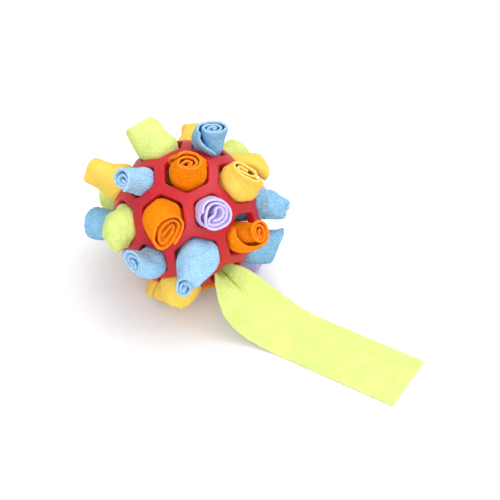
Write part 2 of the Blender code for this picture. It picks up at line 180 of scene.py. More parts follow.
ROLLS = [
    Roll("orange_roll_top", SHORT_REACH, (164, 15), slant=(-10, 27), sink=DEEP_END_SINK, ribs=28,
         rib_depth=FINE_RIB_DEPTH, belly_share=1.06, neck_share=0.92),
    Roll("orange_roll_front_left", MIDDLE_REACH, (119, 57), slant=(40, 36), neck_seam=122,
         neck_share=0.86),
    Roll("lavender_roll_front", TUCKED_REACH, (-162, 14), slant=(65, 7), neck_seam=-166),
    Roll("yellow_roll_upper_right", MIDDLE_REACH, (-57, 30), slant=(79, 24), neck_seam=123,
         belly_share=1.25),
    Roll("blue_roll_crown", MIDDLE_REACH, (-30, 32), slant=(130, 18), neck_seam=-73,
         belly_share=1.28, tint="deep_blue"),
    Roll("blue_roll_upper_left", MIDDLE_REACH, (128, 31), slant=(-104, 5), ribs=28,
         rib_depth=RIB_DEPTH),
    Roll("blue_roll_lower_left", MIDDLE_REACH, (-26, 41), slant=(173, 21), ribs=24,
         rib_depth=RIB_DEPTH, belly_share=1.2),
    Roll("blue_roll_front_low", LONG_REACH, (-131, 50), slant=(16, 34), belly_share=1.3,
         neck_share=0.92),
    Roll("orange_roll_right", MIDDLE_REACH, (-6, 31), slant=(108, 8), neck_seam=-10,
         belly_share=1.15, neck_share=0.92, neck_flat_share=0.28),
    Roll("green_roll_left", SHORT_REACH, (152, 58), seam=-132, slant=(-60, 24), head_share=0.78,
         lumps=HIGH_LUMPS, dome=0.3, dent=(-88, 0.22, 0.75)),
    Roll("blue_roll_right", MIDDLE_REACH, (-104, 23), seam=134, head_share=0.75,
         lumps=LOW_LUMPS, dome=0.4, tint="deep_blue"),
    Roll("green_tab_top_left", TAB_REACH, (168, 34), seam=-146, slant=(-60, 16), flat=125,
         head_flat_share=0.45, belly_share=1.3, **TAB),
    Roll("yellow_tab_left", LONG_REACH, (-176, 16), seam=-132, slant=(-80, 12), flat=172,
         head_flat_share=0.35, belly_share=1.12, **TAB),
    Roll("yellow_tab_back_top", TUCKED_REACH, (128, 10), seam=175, flat=85,
         head_flat_share=0.3, belly_share=0.95, neck_share=0.88, **TAB),
    Roll("yellow_tab_right_back", SHORT_REACH, (-158, 58), seam=122, turns=2, flat=97,
         head_share=0.4, head_flat_share=0.95, sink=0, belly_share=0.92, neck_share=0.6),
    Roll("blue_tab_lower_right", MIDDLE_REACH, (76, 40), seam=138, slant=(-100, 32), flat=20,
         head_flat_share=0.8, tint="deep_blue", **TAB),
    Roll("lavender_tab_right_back", SHORT_REACH, (60, 26), seam=146, flat=60,
         head_flat_share=0.6, **TAB),
    Roll("blue_roll_far_left", MIDDLE_REACH, (-112, 34), seam=-136, tint="deep_blue"),
    Roll("yellow_roll_low_front", TUCKED_REACH, (-140, 20), seam=-171, head_share=0.85,
         dome=0.45),
    Roll("lavender_roll_low_left", PUSHED_IN_REACH, wind=-1, head_share=0.85),
    Roll("green_roll_back_right", LONG_REACH, (-33, 24), seam=149, belly_share=1.1, dome=0.1),
    Roll("green_roll_back_left", LONG_REACH, (130, 22), seam=-118, head_share=0.85),
    Roll("orange_roll_back_left", PUSHED_IN_REACH),
    Roll("lavender_roll_back", MIDDLE_REACH, wind=-1),
    Roll("blue_roll_back_low", MIDDLE_REACH),
    Roll("yellow_roll_back_low", MIDDLE_REACH, wind=-1),
    Roll("lavender_roll_low_right", LONG_REACH, (-115, 22)),
    Roll("orange_roll_low_back", LOW_REACH, head_share=0.9),
    Roll("yellow_roll_under_left", TUCKED_REACH),
    Roll("orange_roll_under_front", PUSHED_IN_REACH, head_share=0.92),
    Roll("blue_roll_under", SHORT_REACH, seam=180),
]


# How the fleece winds in the ends that face the camera, from the core out to the loose
# end, in pixels of the photograph
END_CURVES = {
    "orange_roll_top": [
        (187.5, 161.5), (191, 161), (190.5, 159), (186, 158), (182, 160), (182.5, 163),
        (187, 164.5), (193, 164), (196.5, 161.5), (195.5, 157.5), (190.5, 155), (184, 155),
        (179, 157.5), (178, 161.5), (181, 165), (187, 167), (194, 167), (199.5, 164), (201, 160),
        (199, 156), (194, 152.5), (188, 151.5), (182, 152.5), (178, 155.5),
    ],
    "orange_roll_front_left": [
        (164.5, 240), (163, 238), (165, 236.5), (168, 234), (171, 230), (173.5, 227),
        (175.5, 226), (176, 229), (174.5, 233.5), (171, 239), (167.5, 243.5), (164.5, 245.5),
        (161.5, 243.5), (160.5, 239), (161.5, 233), (165, 227.5), (170, 223.5), (175, 222),
        (179.5, 224), (180, 228), (178.5, 233.5), (175, 240), (171, 245.5), (166, 249.5),
        (161, 250), (157, 246), (155, 240), (155.5, 233), (159, 226), (165, 220.5),
        (171.5, 217.5), (178, 218), (182.3, 221.8), (183.3, 227.3), (181.6, 233.8),
        (178.2, 240), (174, 245.6),
    ],
    "lavender_roll_front": [
        (213.5, 222), (217, 221.5), (221, 220), (224, 216.5), (225, 212), (223.5, 208.5),
        (220, 207), (217, 208.5), (216, 212.5), (216, 216), (213, 218), (210, 220.5), (209, 224),
        (212, 226), (217, 226), (222.5, 224), (226.5, 220), (228, 215), (227.5, 209.5),
        (224, 205.5), (218.5, 203.5), (213, 204), (209.5, 207.5), (207.5, 212), (206, 217.5),
        (206, 223), (208.5, 228), (214, 229.5), (220.5, 228.5), (226.5, 225.5), (230.5, 221),
        (231.5, 215), (230, 209), (226, 204), (220.5, 200.5), (213.5, 200), (207, 202.5),
        (204, 208), (203, 214),
    ],
    "yellow_roll_upper_right": [
        (249.5, 170), (245, 167), (240.5, 165), (239, 167), (242.5, 170), (248, 172.5),
        (254, 175), (257, 174.5), (255.5, 171),
        (250.5, 167), (244.5, 164), (239, 161.5), (235.5, 163), (236.5, 168), (240.5, 172.5),
        (246, 176), (252, 179), (257.5, 180.5), (260.5, 177.5),
    ],
    "blue_roll_crown": [
        (213, 126.8), (216.5, 126.3), (217, 125), (213, 124.3), (209, 125), (208, 127),
        (211, 128.6), (216, 129), (220.5, 128), (222, 126), (219.5, 123.7), (214, 122.7),
        (208.5, 122.8), (204.5, 124.5), (203.5, 127), (206.5, 129.7), (211.5, 131),
        (217.5, 131), (223, 129.5), (226.3, 126.8), (225, 123.8), (220.5, 121.6), (214, 120.8),
        (208, 121), (203.3, 122), (199.8, 124.2), (197.8, 127.5), (198.3, 130.8), (201, 133),
    ],
    "blue_roll_upper_left": [
        (120, 180), (122.5, 182), (124, 185), (121.5, 185), (117.5, 183), (116, 179.5),
        (117.5, 176), (121, 175), (124.5, 178), (126, 183), (125, 187.5), (120.5, 188),
        (116, 185.5), (114, 181), (114, 175.5), (116.5, 171), (120.5, 169.5), (124.5, 171.5),
        (127, 176), (127.5, 182), (126, 188), (122.5, 191),
    ],
    "blue_roll_lower_left": [
        (129.5, 260), (131.5, 262.5), (133, 266.5), (134, 269.5), (131.5, 268.5), (128.5, 264),
        (126, 259.5), (127, 256), (130.5, 256), (135, 259), (137.5, 263.5), (137.5, 268.5),
        (135, 272), (131.5, 271), (128, 267), (124.5, 261.5), (123.5, 256.5), (125.5, 252),
        (130, 252), (135, 255), (139, 260), (140, 265.5), (138.5, 270.5), (135.5, 274),
    ],
    "blue_roll_front_low": [
        (181, 292.5), (182.5, 291), (184, 292), (183.5, 294), (181, 295), (179, 293.5),
        (178.5, 290.5), (180, 287.5), (183.5, 286), (187, 287), (189.5, 290.5), (188.5, 294),
        (185, 297), (180.5, 297), (177, 294.5), (176, 290), (177, 285), (180, 281.5),
        (184.5, 280), (189, 282), (193, 285.5), (196, 289.5),
    ],
    "orange_roll_right": [
        (263, 231), (262, 228.5), (260.5, 228.5), (260, 231.5), (261.5, 234), (263.5, 237),
        (263.5, 239), (261, 238.5), (258.5, 235.5), (256.5, 231.5), (257, 227), (259.5, 224),
        (263, 225), (265, 228.5), (266, 233), (266, 238), (264, 241.5), (260, 241), (256.5, 238),
        (254, 233.5), (253.5, 228.5), (255.5, 223.5), (259.5, 221), (264, 221.5), (267, 226),
        (268.5, 232), (268.5, 238), (266.5, 242.5), (262, 244),
    ],
}


def direction(azimuth, elevation):
    """The unit vector at an azimuth and an elevation in degrees."""
    turn, climb = math.radians(azimuth), math.radians(elevation)
    return Vector((math.cos(turn) * math.cos(climb), math.sin(turn) * math.cos(climb),
                   math.sin(climb)))


# The rubber lattice

def lattice_cage():
    """A bmesh of the ball's twelve pentagons and twenty hexagons, corners on the ball."""
    cage = bmesh.new()
    bmesh.ops.create_icosphere(cage, subdivisions=1, radius=BALL_RADIUS)
    third = 100 / 3
    bmesh.ops.bevel(cage, geom=cage.verts[:], offset=third, offset_type="PERCENT",
                    affect="VERTICES", segments=1, profile=0.5)
    for vert in cage.verts:
        vert.co = vert.co.normalized() * BALL_RADIUS
    turn = (Matrix.Rotation(math.radians(FRONT_HOLE_AZIMUTH), 4, "Z")
            @ Matrix.Rotation(math.radians(90 - FRONT_HOLE_ELEVATION), 4, "Y")
            @ Matrix.Rotation(math.radians(BALL_SPIN), 4, "Z"))
    cage.transform(turn)
    cage.normal_update()
    return cage


# A hole: the way out of it, how many sides it has, the radius of the circle that fits in
# its outer rim, how far that circle lies from the ball's centre, and the way to a corner
Hole = namedtuple("Hole", "axis sides rim_radius rim_height corner_way")


def find_holes():
    """Every hole of the ball, with its axis and the circle that fits in its outer rim."""
    cage = lattice_cage()
    holes = []
    for face in cage.faces:
        sides = len(face.verts)
        middle = face.calc_center_median()
        apothem = face.edges[0].calc_length() / 2 / math.tan(math.pi / sides) - BAR_WIDTH / 2
        opening = math.atan2(apothem, middle.length)
        holes.append(Hole(middle.normalized(), sides, BALL_RADIUS * math.sin(opening),
                          BALL_RADIUS * math.cos(opening),
                          (face.verts[0].co - middle).normalized()))
    cage.free()
    return holes


def hole_along(holes, way):
    """The hole whose axis points along a direction."""
    return max(holes, key=lambda hole: hole.axis.dot(way))


def round_outline(corners):
    """A hole's outline with rounded corners, from the middle of one corner on round."""
    count = len(corners)
    half_angle = math.pi / 2 - math.pi / count

    def half_corner(index, side):
        """The arc from the middle of a corner towards the next, 1, or the last corner, -1."""
        corner = corners[index % count]
        way, other = [(corners[(index + step) % count] - corner).normalized()
                      for step in (side, -side)]
        inward = (way + other).normalized()
        centre = corner + inward * HOLE_FILLET / math.sin(half_angle)
        touch = corner + way * HOLE_FILLET / math.tan(half_angle)
        spoke = (touch - centre).normalized()
        return [centre + (-inward).slerp(spoke, part / FILLET_STEPS) * HOLE_FILLET
                for part in range(FILLET_STEPS + 1)]

    outline = []
    for index in range(count):
        leaving = half_corner(index, 1)
        arriving = half_corner(index + 1, -1)[::-1]
        outline += leaving
        outline += [leaving[-1].lerp(arriving[0], part / (SIDE_STEPS + 1))
                    for part in range(1, SIDE_STEPS + 1)]
        outline += arriving[:-1]
    return outline


def lattice_mesh():
    """The ball's outer surface: bars between holes with rounded corners."""
    cage = lattice_cage()
    bmesh.ops.subdivide_edges(cage, edges=cage.edges[:], cuts=2 * FILLET_STEPS + SIDE_STEPS)
    outlines = cage.faces[:]
    marks = {face: [len(vert.link_edges) == 3 for vert in face.verts] for face in outlines}
    bmesh.ops.inset_individual(cage, faces=outlines, thickness=BAR_WIDTH / 2,
                               use_even_offset=True)
    for face in outlines:
        verts = [loop.vert for loop in face.loops]
        first = marks[face].index(True)
        verts = verts[first:] + verts[:first]
        step = len(verts) // sum(marks[face])
        for vert, place in zip(verts, round_outline([vert.co.copy() for vert in verts[::step]])):
            vert.co = place
    rims = {vert for face in outlines for vert in face.verts}
    spokes = [edge for edge in cage.edges if len(rims.intersection(edge.verts)) == 1]
    bmesh.ops.delete(cage, geom=outlines, context="FACES_ONLY")
    bmesh.ops.subdivide_edges(cage, edges=spokes, cuts=BAR_CUTS, use_grid_fill=True)
    for vert in cage.verts:
        vert.co = vert.co.normalized() * BALL_RADIUS
    mesh = bpy.data.meshes.new("rubber_lattice")
    cage.to_mesh(mesh)
    cage.free()
    return mesh


def make_lattice():
    """The moulded ball: the lattice with its wall and eased rims."""
    mesh = lattice_mesh()
    lattice = add_piece("rubber_lattice", mesh, rubber_material())
    lattice.location = BALL_CENTRE
    shell = lattice.modifiers.new("wall", "SOLIDIFY")
    shell.thickness = BALL_WALL
    shell.offset = -1
    easing = lattice.modifiers.new("eased rims", "BEVEL")
    easing.width = RIM_EASE
    easing.segments = RIM_SEGMENTS
    easing.limit_method = "ANGLE"
    easing.angle_limit = math.radians(RIM_ANGLE)
    mesh.shade_smooth()
    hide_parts("rubber_ball")
    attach(lattice, "ball")
    return lattice


def add_piece(name, mesh, finish):
    """Put a mesh in the scene as a named object with its material."""
    piece = bpy.data.objects.new(name, mesh)
    mesh.materials.append(finish)
    bpy.context.scene.collection.objects.link(piece)
    return piece


# The rolls

def through(start, middle, end, share):
    """A smooth passage through three values, the middle one halfway."""
    return (start * (1 - share) * (1 - 2 * share) + middle * 4 * share * (1 - share)
            + end * share * (2 * share - 1))


def ease(share):
    """A rise from 0 to 1 that starts and ends level."""
    share = min(max(share, 0), 1)
    return share * share * (3 - 2 * share)


def outer_ease(place, share):
    """A rise from 0 to 1 over the last share of a winding, up to its loose edge."""
    return ease((place - 1 + share) / share)


def resample(points, count):
    """The same line with evenly spaced points."""
    lengths = [0.0]
    for before, after in zip(points, points[1:]):
        lengths.append(lengths[-1] + abs(after - before))
    spread, index = [], 0
    for step in range(count):
        along = lengths[-1] * step / (count - 1)
        while index < len(points) - 2 and lengths[index + 1] < along:
            index += 1
        part = (along - lengths[index]) / (lengths[index + 1] - lengths[index])
        spread.append(points[index] + (points[index + 1] - points[index]) * min(part, 1))
    return spread


def clock_way(clock):
    """The plane direction at a clock angle in degrees, 0 up and 90 to the right."""
    return complex(math.sin(math.radians(clock)), math.cos(math.radians(clock)))


def spiral(seam, wind, turns, outer, core, half_length, flat, seed, wobble):
    """A rolled strip seen from its end, from the core out to the seam.

    The last FULL_TURN_SHARE of the turns keeps the whole radius.
    """
    steps = round(turns * POINTS_PER_TURN * 2)
    across = clock_way(flat)
    points = []
    for step in range(steps + 1):
        share = step / steps
        way = clock_way(seam - wind * 360 * turns * (1 - share))
        drift = turns * share * WOBBLE_DRIFT + seed
        uneven = noise.noise(Vector((way.real, way.imag, drift)))
        growth = min(share / (1 - FULL_TURN_SHARE), 1)
        radius = (core + (outer - core) * growth) * (1 + wobble * uneven)
        lean = (way * across.conjugate()).real
        points.append(way * radius + across * math.copysign(half_length, lean))
    return points


def winding(path):
    """The angle in radians that a path turns round the middle."""
    total = 0.0
    for before, after in zip(path, path[1:]):
        total += math.atan2((after * before.conjugate()).imag, (after * before.conjugate()).real)
    return total


def smooth_path(points):
    """A smooth plane curve through given points."""
    ends = [2 * points[0] - points[1]] + points + [2 * points[-1] - points[-2]]
    curve = []
    for before, start, end, after in zip(ends, ends[1:], ends[2:], ends[3:]):
        for step in range(CURVE_STEPS):
            t = step / CURVE_STEPS
            curve.append(0.5 * (2 * start + (end - before) * t
                                + (2 * before - 5 * start + 4 * end - after) * t * t
                                + (3 * start - before - 3 * end + after) * t ** 3))
    curve.append(points[-1])
    return curve


def hole_bulge(hole, up, right, point, bulge):
    """How much further than its round a roll may reach, towards the hole's corners."""
    corner = complex(hole.corner_way.dot(right), hole.corner_way.dot(up))
    turn = point * corner.conjugate()
    angle = math.atan2(turn.imag, turn.real)
    return 1 + bulge * (1 + math.cos(hole.sides * angle)) / 2


def facing(hole):
    """The directions right and up, seen from outside the hole."""
    up = (Vector((0, 0, 1)) - hole.axis * hole.axis.z).normalized()
    return up.cross(hole.axis), up


def roll_pose(roll, hole, share):
    """The middle of a roll and its turn, at a share of the way from its hole to its end."""
    right, up = facing(hole)

    def tip(clock, tilt):
        """The turn that tips the axis towards a clock angle."""
        way = up * math.cos(math.radians(clock)) + right * math.sin(math.radians(clock))
        return Matrix.Rotation(math.radians(tilt), 3, hole.axis.cross(way))

    clock, tilt = roll.lean
    slant_clock, slant_tilt = roll.slant
    outside = BALL_RADIUS + roll.reach - hole.rim_height
    neck = hole.axis * hole.rim_height
    belly = neck + (tip(clock, tilt * BELLY_LEAN_SHARE) @ hole.axis) * outside * BELLY_SHARE
    head = belly + (tip(clock, tilt) @ hole.axis) * outside * (1 - BELLY_SHARE)
    turned = (tip(slant_clock, slant_tilt * ease(share))
              @ tip(clock, through(0, tilt * BELLY_LEAN_SHARE, tilt, share)))
    return through(neck, belly, head, share), turned


def on_end(pixel, middle, side, top, out):
    """Where the line of sight through a pixel of the photograph meets a roll's end."""
    half = PHOTO_SIDE / 2
    sight = (Matrix.Rotation(math.radians(CAMERA_TILT), 3, "X")
             @ Vector((pixel[0] - half, half - pixel[1], -FOCAL_PIXELS)))
    eye = Vector(CAMERA_OFFSET)
    place = eye + sight * (middle - eye).dot(out) / sight.dot(out) - middle
    return complex(place.dot(side), place.dot(top))


def dent_depth(dent, clock, share):
    """How far a dent in a roll's side reaches towards the middle, as a share of the radius."""
    dent_clock, dent_share, depth = dent
    turn = math.remainder(clock - dent_clock, 360) / DENT_TURN
    along = (share - dent_share) / DENT_SPAN
    return depth * math.exp(-turn * turn - along * along)


def end_winding(roll, hole, seed):
    """How the fleece winds in a roll's end: its line, turns, sense and seam."""
    if roll.name not in END_CURVES:
        head = HEX_HEAD_RADIUS if hole.sides == 6 else PENT_HEAD_RADIUS
        line = spiral(roll.seam, roll.wind, roll.turns, head * roll.head_share - FLEECE / 2,
                      CORE_RADIUS, TAB_HALF_LENGTH * roll.head_flat_share, roll.flat, seed,
                      END_WOBBLE)
        return line, roll.turns, roll.wind, roll.seam
    right, up = facing(hole)
    middle, turned = roll_pose(roll, hole, 1)
    plane = (middle, turned @ right, turned @ up, turned @ hole.axis)
    line = smooth_path([on_end(pixel, *plane) for pixel in END_CURVES[roll.name]])
    angle = winding(line)
    seam = math.degrees(math.atan2(line[-1].real, line[-1].imag))
    return line, abs(angle) / (2 * math.pi), -math.copysign(1, angle), seam


def rim_section(roll, hole, neck):
    """A roll's section at the rim, where its outer turns bulge into the hole's corners."""
    right, up = facing(hole)
    bulge = CORNER_BULGE if roll.neck_share == 1 else FREE_CORNER_BULGE
    rim = []
    for index, point in enumerate(neck):
        depth = outer_ease(index / (len(neck) - 1), BULGE_TURNS_SHARE)
        grown = 1 + (hole_bulge(hole, up, right, point, bulge) - 1) * depth
        rim.append(point * roll.neck_share * grown)
    return rim


def inside_row(hole, root, neck, share):
    """A row of points inside the ball, at a share of the way from the root to the rim."""
    right, up = facing(hole)
    middle = (hole.axis * TREAT_SPACE_RADIUS).lerp(hole.axis * hole.rim_height, share)
    row = []
    for inner, outer in zip(root, neck):
        point = inner + (outer - inner) * share
        row.append(middle + right * point.real + up * point.imag)
    return row


def side_shape(roll, point, place, share):
    """A point of a roll's section, moved by the ribs, the dent and the lifted edge."""
    if roll.ribs and abs(point) > 0:
        angle = math.atan2(point.imag, point.real)
        height = roll.rib_depth * (1 - RIB_FADE * share) * math.cos(roll.ribs * angle)
        point *= 1 + height / abs(point)
    clock = math.degrees(math.atan2(point.real, point.imag))
    point *= 1 - dent_depth(roll.dent, clock, share)
    lift = EDGE_LIFT * outer_ease(place, EDGE_SHARE)
    return point + point / abs(point) * lift * math.sin(math.pi * share)


def outside_row(roll, hole, rim, head, twist, seed, share):
    """A row of points past the rim, at a share of the way to the roll's outer end."""
    right, up = facing(hole)
    middle, turned = roll_pose(roll, hole, share)
    side, top, out = turned @ right, turned @ up, turned @ hole.axis
    mix = ease(share)
    swell = 1 + (roll.belly_share - 1) * math.sin(math.pi * share)
    closing = 1 - roll.dome * max((share - DOME_START) / (1 - DOME_START), 0) ** 2
    row = []
    for index, (inner, outer) in enumerate(zip(rim, head)):
        place = index / (len(head) - 1)
        straight = inner * cmath.rect(1, twist * place)
        mixed = straight + (outer - straight) * mix
        point = mixed * cmath.rect(swell * closing, twist * place * (mix - 1))
        point = side_shape(roll, point, place, share)
        wave = noise.noise(Vector((place * END_WAVE_RATE, seed * END_WAVE_SEED_STEP, 0)))
        edge = (END_WAVE * wave - roll.sink * (1 - place)) * share ** 3
        row.append(middle + side * point.real + top * point.imag + out * edge)
    return row


def roll_rows(roll, hole, seed):
    """The rows of points along a roll, from its inner end to its outer end."""
    line, turns, wind, seam = end_winding(roll, hole, seed)
    count = round(turns * max(POINTS_PER_TURN, POINTS_PER_RIB * roll.ribs)) + 1
    further = 0 if roll.neck_seam is None else math.remainder(roll.neck_seam - seam, 360)
    neck_turns = turns + wind * further / 360

    def section(radius, half_length, inset_share):
        """The winding in the hole, its radius to the outside of the fleece."""
        return resample(spiral(seam + further, wind, neck_turns,
                               radius - FLEECE * inset_share / 2, CORE_RADIUS * inset_share,
                               half_length, roll.flat, seed, 0), count)

    root_angle = math.radians(HEX_ROOT_ANGLE if hole.sides == 6 else PENT_ROOT_ANGLE)
    neck_radius = hole.rim_radius - ROLL_GAP
    neck_flat = neck_radius * roll.neck_flat_share
    root = section(TREAT_SPACE_RADIUS * math.tan(root_angle), 0, ROOT_THICKNESS_SHARE)
    neck = section(neck_radius - neck_flat, neck_flat, NECK_INSET_SHARE)
    rim = rim_section(roll, hole, neck)
    head = resample(line, count)
    twist = math.radians(further)
    rows = [inside_row(hole, root, neck, step / INNER_ROWS) for step in range(INNER_ROWS)]
    rows += [outside_row(roll, hole, rim, head, twist, seed, step / OUTER_ROWS)
             for step in range(OUTER_ROWS + 1)]
    return rows


def thickness_shares():
    """How thick the fleece is in each row of a roll, as a share of its full thickness."""
    squeeze = NECK_THICKNESS_SHARE - ROOT_THICKNESS_SHARE
    inside = [ROOT_THICKNESS_SHARE + squeeze * step / INNER_ROWS for step in range(INNER_ROWS)]
    outside = [min(step / OUTER_ROWS / THICK_AGAIN_SHARE, 1) for step in range(OUTER_ROWS + 1)]
    return inside + [NECK_THICKNESS_SHARE + (1 - NECK_THICKNESS_SHARE) * share
                     for share in outside]


def stop_at_floor(rows):
    """Shorten the lines that would go through the floor, along the roll."""
    outside = rows[INNER_ROWS:]
    for column in range(len(rows[0])):
        line = [row[column].copy() for row in outside]
        last = len(line) - 1
        for step, (before, after) in enumerate(zip(line, line[1:])):
            if after.z < LYING:
                last = step + (before.z - LYING) / (before.z - after.z)
                break
        for step, row in enumerate(outside):
            at = last * step / (len(line) - 1)
            index = min(int(at), len(line) - 2)
            row[column] = line[index].lerp(line[index + 1], at - index)


def sheet_mesh(name, rows):
    """A mesh sheet through equal rows of points."""
    width = len(rows[0])
    points = [point for row in rows for point in row]
    faces = [(row * width + column, row * width + column + 1,
              (row + 1) * width + column + 1, (row + 1) * width + column)
             for row in range(len(rows) - 1) for column in range(width - 1)]
    mesh = bpy.data.meshes.new(name)
    mesh.from_pydata(points, [], faces)
    mesh.update()
    return mesh


def add_lumps(mesh, width, depth, first_row, seed):
    """Push a sheet in and out a little, past its first rows, as soft cloth is never even."""
    normals = [normal.vector.copy() for normal in mesh.vertex_normals]
    for index, vert in enumerate(mesh.vertices):
        row = index // width
        if row <= first_row:
            continue
        start = min((row - first_row) / LUMP_FADE_ROWS, 1)
        place = vert.co / LUMP_SIZE + Vector((seed * LUMP_SEED_STEP, 0, 0))
        push = noise.noise(place) + SMALL_LUMP_SHARE * noise.noise(place * SMALL_LUMP_RATE)
        vert.co += normals[index] * push * depth * start


def make_cloth(name, rows, shares, colour, seed, lumps, first_row, levels):
    """A fleece sheet from rows of points about the ball's centre, and their thickness."""
    mesh = sheet_mesh(name, rows)
    width = len(rows[0])
    add_lumps(mesh, width, lumps, first_row, seed)
    for vert in mesh.vertices:
        vert.co.z = max(vert.co.z, LYING)
    piece = add_piece(name, mesh, fleece_material(colour))
    # The cut edges take a paler copy of the fleece, a painted highlight
    mesh.materials.append(fleece_material(colour, EDGE_HIGHLIGHTS[colour]))
    piece.location = BALL_CENTRE
    thick = piece.vertex_groups.new(name="fleece")
    for row, share in enumerate(shares):
        thick.add(range(row * width, (row + 1) * width), share, "REPLACE")
    lifted = piece.vertex_groups.new(name="off the floor")
    lifted.add([vert.index for vert in mesh.vertices if vert.co.z > LYING + FLEECE], 1, "REPLACE")
    cloth = piece.modifiers.new("fleece", "SOLIDIFY")
    cloth.thickness = FLEECE
    cloth.offset = 0
    cloth.vertex_group = thick.name
    # The rims, the cut edges, take the second material with its painted highlight
    cloth.material_offset_rim = 1
    smooth = piece.modifiers.new("soft", "SUBSURF")
    smooth.levels = levels
    smooth.render_levels = levels
    tufts = piece.modifiers.new("tufts", "DISPLACE")
    tufts.texture = tuft_texture()
    tufts.texture_coords = "LOCAL"
    tufts.strength = TUFT_DEPTH
    tufts.vertex_group = lifted.name
    mesh.shade_smooth()
    return piece


def tuft_texture():
    """The soft unevenness of the nap."""
    found = bpy.data.textures.get("tufts")
    if found:
        return found
    made = bpy.data.textures.new("tufts", "CLOUDS")
    made.noise_scale = TUFT_SIZE
    made.noise_depth = 1
    return made


def make_roll(roll, holes, seed):
    """One strip of fleece rolled up in its hole."""
    rows = roll_rows(roll, hole_along(holes, AXES[roll.name]), seed)
    stop_at_floor(rows)
    colour = roll.name.split("_")[0]
    # A roll that faces away from the light may take a deeper copy of its colour, painted shade
    piece = make_cloth(roll.name + "_fleece", rows, thickness_shares(), roll.tint or colour, seed,
                       roll.lumps, INNER_ROWS, ROLL_LEVELS)
    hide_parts(roll.name)
    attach(piece, roll.name)
    return piece


# The unrolled strip: the azimuth and elevation of its hole, where it lies on the floor, its
# gathered neck, how its left and right edge leave the neck and land, and its crease
TAIL_HOLE = (-55, -24)
TAIL_END_DISTANCE = 0.1855
TAIL_SIDE_OFFSET = 0.0107
TAIL_FLAT_LENGTH = 0.0800
TAIL_HEADING = -31.5
TAIL_STUB = 0.0110
TAIL_NECK_WIDTH_SHARE = 0.74
TAIL_NECK_DEPTH_SHARE = 0.37
TAIL_LEFT_PULL = 0.0230
TAIL_LEFT_SPREAD = 0.0090
TAIL_LEFT_RISE = 0.0060
TAIL_LEFT_LAND = 0.0330
TAIL_RIGHT_PULL = 0.0160
TAIL_RIGHT_SPREAD = 0.0155
TAIL_RIGHT_DROP = 0.0200
TAIL_RIGHT_LAND = 0.0500
TAIL_STUB_STEPS = 3
TAIL_DROP_STEPS = 40
TAIL_FLAT_STEPS = 34
TAIL_ACROSS_STEPS = 24
TAIL_LEVELS = 2
TAIL_SEED = 50
CREASE_PLACE = 0.33
CREASE_WIDTH = 0.075
CREASE_DEPTH = 0.0060
CREASE_FADE = 1.6


def bezier(start, first, second, end, share):
    """A point on a cubic curve."""
    rest = 1 - share
    return (start * rest ** 3 + first * 3 * share * rest ** 2
            + second * 3 * share ** 2 * rest + end * share ** 3)


def tail_rows(hole):
    """The rows of the unrolled strip, from inside the ball to its far end."""
    out = Vector((hole.axis.x, hole.axis.y, 0)).normalized()
    heading = direction(TAIL_HEADING, 0)
    neck_left = Vector((-out.y, out.x, 0))
    left = Vector((-heading.y, heading.x, 0))
    rise = Vector((0, 0, 1))
    neck_width = 2 * hole.rim_radius * TAIL_NECK_WIDTH_SHARE
    neck_depth = 2 * hole.rim_radius * TAIL_NECK_DEPTH_SHARE
    exit_point = hole.axis * hole.rim_height + rise * neck_depth / 2
    end = heading * TAIL_END_DISTANCE - left * TAIL_SIDE_OFFSET + rise * LYING
    landing = end - heading * TAIL_FLAT_LENGTH

    def row(left_edge, right_edge, depth, crease):
        """The points between two edges, sagging to a depth, with a crease."""
        points = []
        for step in range(TAIL_ACROSS_STEPS + 1):
            share = step / TAIL_ACROSS_STEPS
            sag = depth * (1 - (2 * share - 1) ** 2)
            sag += crease * math.exp(-((share - CREASE_PLACE) / CREASE_WIDTH) ** 2)
            points.append(left_edge.lerp(right_edge, share) - rise * sag)
        return points

    half_neck = neck_left * neck_width / 2
    half_tail = left * STRIP_WIDTH / 2
    rows = []
    for step in range(TAIL_STUB_STEPS):
        back = out * TAIL_STUB * (1 - step / TAIL_STUB_STEPS)
        rows.append(row(exit_point - back + half_neck, exit_point - back - half_neck,
                        neck_depth, CREASE_DEPTH))
    left_pull = out * TAIL_LEFT_PULL + left * TAIL_LEFT_SPREAD + rise * TAIL_LEFT_RISE
    right_pull = out * TAIL_RIGHT_PULL - left * TAIL_RIGHT_SPREAD - rise * TAIL_RIGHT_DROP
    for step in range(TAIL_DROP_STEPS):
        share = step / TAIL_DROP_STEPS
        left_edge = bezier(exit_point + half_neck, exit_point + half_neck + left_pull,
                           landing + half_tail - heading * TAIL_LEFT_LAND, landing + half_tail,
                           share)
        right_edge = bezier(exit_point - half_neck, exit_point - half_neck + right_pull,
                            landing - half_tail - heading * TAIL_RIGHT_LAND,
                            landing - half_tail, share)
        rows.append(row(left_edge, right_edge, neck_depth * (1 - share) ** 2,
                        CREASE_DEPTH * ease(1 - CREASE_FADE * share)))
    for step in range(TAIL_FLAT_STEPS + 1):
        along = landing.lerp(end, step / TAIL_FLAT_STEPS)
        rows.append(row(along + half_tail, along - half_tail, 0, 0))
    return rows


def make_tail(holes):
    """The unrolled strip that lies on the floor."""
    rows = tail_rows(hole_along(holes, direction(*TAIL_HOLE)))
    piece = make_cloth("green_tail_strip_fleece", rows, [1] * len(rows), "green", TAIL_SEED,
                       EVEN_LUMPS, TAIL_STUB_STEPS, TAIL_LEVELS)
    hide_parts("green_tail_strip")
    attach(piece, "green_tail_strip")
    return piece


# The rubber's colour, shading, grain and gloss
RUBBER = (0.55, 0.012, 0.022)
RUBBER_SHADE_SIZE = 0.0120
RUBBER_SHADE_DEPTH = 0.0006
RUBBER_DARK, RUBBER_LIGHT = 0.90, 1.08
RUBBER_GRAIN_SIZE = 0.0007
RUBBER_GRAIN_DEPTH = 0.00004
RUBBER_SMOOTH, RUBBER_ROUGH = 0.34, 0.46

